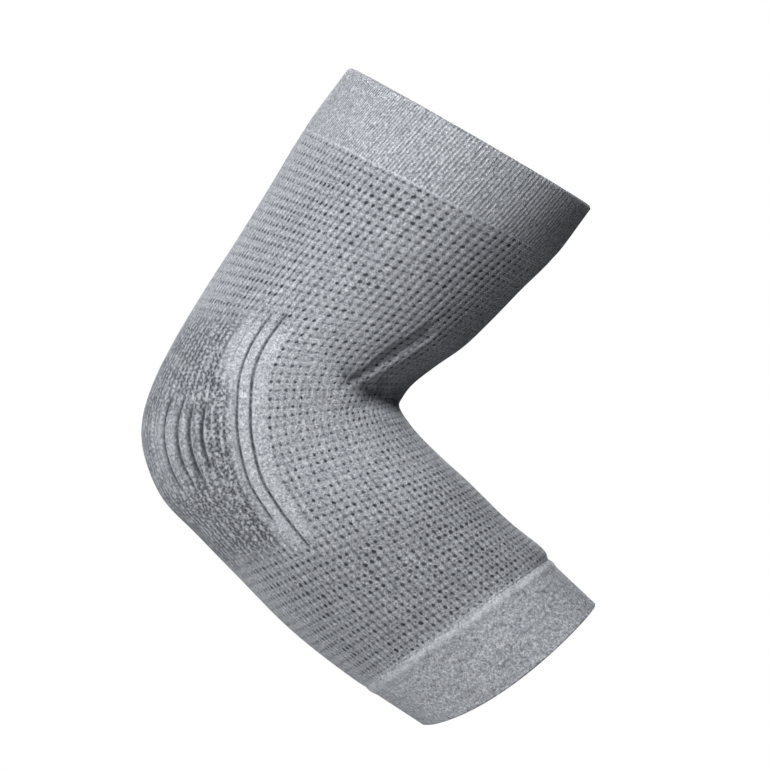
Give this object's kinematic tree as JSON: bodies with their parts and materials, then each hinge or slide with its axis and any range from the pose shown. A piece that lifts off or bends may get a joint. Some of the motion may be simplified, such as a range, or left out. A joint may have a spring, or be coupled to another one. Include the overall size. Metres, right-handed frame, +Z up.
{
  "type": "elbow brace",
  "caption": "Knitted elbow compression sleeve in the bent form of a worn arm, open at both ends, with a ribbed upper cuff, a dense elbow patch and a plain lower cuff.",
  "frame": {"origin": "middle of the elbow inside the tube, half way from the tip of the elbow to the crook, where the arm sits", "axes": "+Z up, as the picture shows the sleeve; +X from the tip of the elbow towards the crook side, to which both arms lean; Y across the sleeve, which bends in the X-Z plane and is the same on both sides of it"},
  "size_m": [0.1727, 0.09, 0.2499],
  "materials": {
    "ribbed_knit": "fine ribbed heather knit, light grey, dull",
    "body_knit": "heather knit with small open eyelets, mid grey, dull; darker and denser at the elbow",
    "hem_knit": "plain speckled heather knit, mid grey, dull"
  },
  "bodies": {
    "root": {"upper_cuff": "ribbed_knit", "sleeve_body": "body_knit", "lower_cuff": "hem_knit"}
  },
  "joints": []
}
